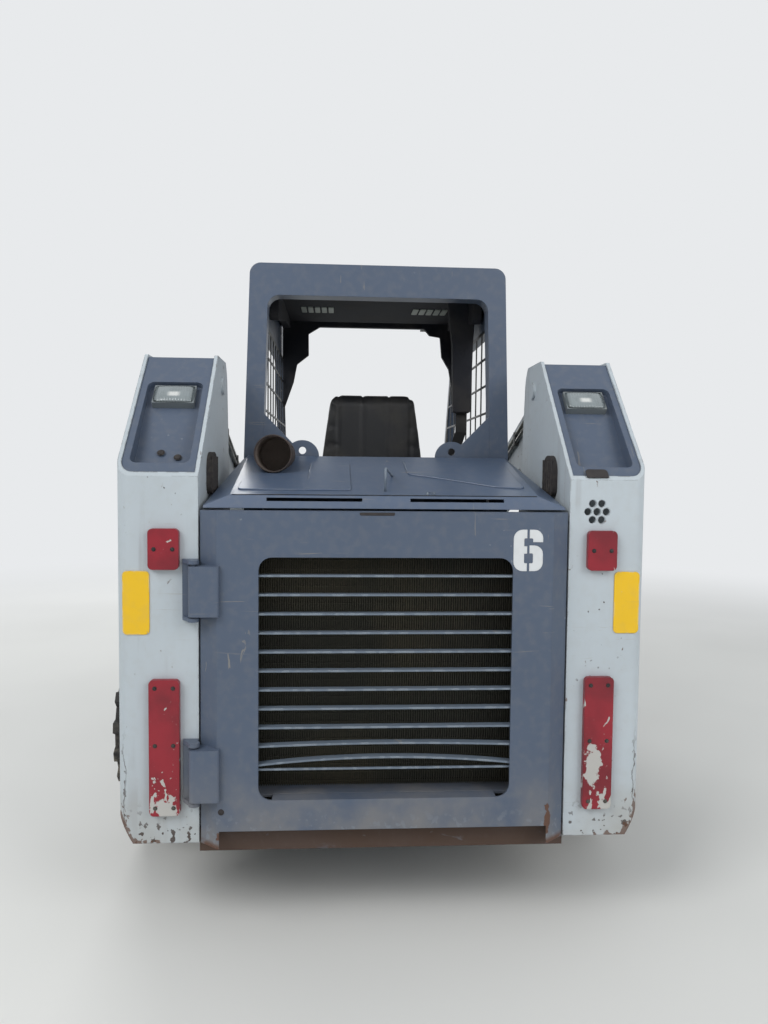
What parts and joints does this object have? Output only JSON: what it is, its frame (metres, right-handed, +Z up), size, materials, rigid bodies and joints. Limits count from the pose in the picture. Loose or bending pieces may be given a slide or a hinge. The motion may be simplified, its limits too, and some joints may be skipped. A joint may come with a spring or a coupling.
{
  "type": "compact track loader",
  "caption": "Rubber-tracked loader with rear towers, radial-lift boom, tilting bucket, open canopy cab, slatted rear door and hood.",
  "frame": {"origin": "on the ground under the middle of the machine's box", "axes": "+X forward to the bucket, +Y to the machine's left, +Z up"},
  "size_m": [3.732, 1.98, 2.225],
  "materials": {
    "grey_paint": "satin, worn",
    "white_paint": "satin, chipped",
    "black_paint": "satin",
    "bucket_paint": "worn",
    "core": "dusty",
    "iron": "painted",
    "steel": "worn",
    "chrome": "polished",
    "rubber": "matt",
    "track_rubber": "dusty",
    "lamp": "clear over grey",
    "red_pad": "scuffed",
    "yellow_plate": "satin",
    "rusty_pipe": "rusty",
    "seat_cover": "satin vinyl",
    "plastic": "grained"
  },
  "bodies": {
    "machine": {"main_frame": "grey_paint", "cab_floor": "grey_paint", "bulkhead": "grey_paint", "fenders": "grey_paint", "radiator": "core", "engine": "iron", "tower_left": "white_paint", "tower_right": "white_paint", "lamp_troughs": "grey_paint", "rear_lamps": "lamp", "marker_pads": "red_pad", "blank_plates": "yellow_plate", "hose_boots": "rubber", "door_hinge_lugs": "white_paint", "canopy_frame": "grey_paint", "canopy_roof": "grey_paint", "side_screens": "black_paint", "seat_base": "black_paint", "seat_cushion": "seat_cover", "seat_back": "seat_cover", "consoles": "plastic", "joysticks": "plastic", "work_lamps": "lamp", "track_left": "track_rubber", "track_right": "track_rubber", "track_frames": "grey_paint", "sprockets": "steel", "final_drives": "iron", "idlers": "steel", "rollers": "steel"},
    "boom": {"boom_arm_left": "white_paint", "boom_arm_right": "white_paint", "cross_tube": "white_paint"},
    "lift_barrels": {"lift_barrels": "black_paint"},
    "lift_rods": {"lift_rods": "chrome"},
    "tilt_barrels": {"tilt_barrels": "black_paint"},
    "tilt_rods": {"tilt_rods": "chrome"},
    "bucket": {"quick_hitch": "black_paint", "bucket": "bucket_paint", "cutting_edge": "steel"},
    "rear_door": {"rear_door": "grey_paint", "door_grille": "grey_paint"},
    "hood": {"hood": "grey_paint", "exhaust_pipe": "rusty_pipe"},
    "lap_bar": {"lap_bar": "black_paint"}
  },
  "joints": [
    {"name": "boom_lift", "type": "hinge", "parent": "machine", "child": "boom", "pos_m": [-1.334, 0, 1.75], "axis": [0, -1, 0], "range_deg": [0, 63]},
    {"name": "lift_barrel_swing", "type": "hinge", "parent": "machine", "child": "lift_barrels", "pos_m": [-1.423, 0, 1.122], "axis": [0, -1, 0], "range_deg": [0, 25.84]},
    {"name": "lift_rod_slide", "type": "slide", "parent": "lift_barrels", "child": "lift_rods", "axis": [0.8226, 0, 0.5686], "range_m": [0, 0.41793]},
    {"name": "bucket_tilt", "type": "hinge", "parent": "boom", "child": "bucket", "pos_m": [1.026, 0, 0.262], "axis": [0, 1, 0], "range_deg": [-28, 104]},
    {"name": "tilt_barrel_swing", "type": "hinge", "parent": "boom", "child": "tilt_barrels", "pos_m": [0.633, 0, 0.946], "axis": [0, -1, 0], "range_deg": [-1.58, 5.83]},
    {"name": "tilt_rod_slide", "type": "slide", "parent": "tilt_barrels", "child": "tilt_rods", "axis": [0.5788, 0, -0.8155], "range_m": [-0.05957, 0.221]},
    {"name": "rear_door_swing", "type": "hinge", "parent": "machine", "child": "rear_door", "pos_m": [-1.84, 0.574, 0], "axis": [0, 0, -1], "range_deg": [0, 110]},
    {"name": "hood_lift", "type": "hinge", "parent": "machine", "child": "hood", "pos_m": [-1.238, 0, 1.48], "axis": [0, 1, 0], "range_deg": [0, 45]},
    {"name": "lap_bar_lift", "type": "hinge", "parent": "machine", "child": "lap_bar", "pos_m": [-0.724, 0, 1.19], "axis": [0, -1, 0], "range_deg": [0, 75]}
  ],
  "couplings": [
    {"joint": "lift_barrel_swing", "follows": "boom_lift", "ratio": 0.41},
    {"joint": "lift_rod_slide", "follows": "boom_lift", "m_per_rad": 0.38},
    {"joint": "tilt_barrel_swing", "follows": "bucket_tilt", "ratio": 0.056},
    {"joint": "tilt_rod_slide", "follows": "bucket_tilt", "m_per_rad": 0.1217}
  ]
}
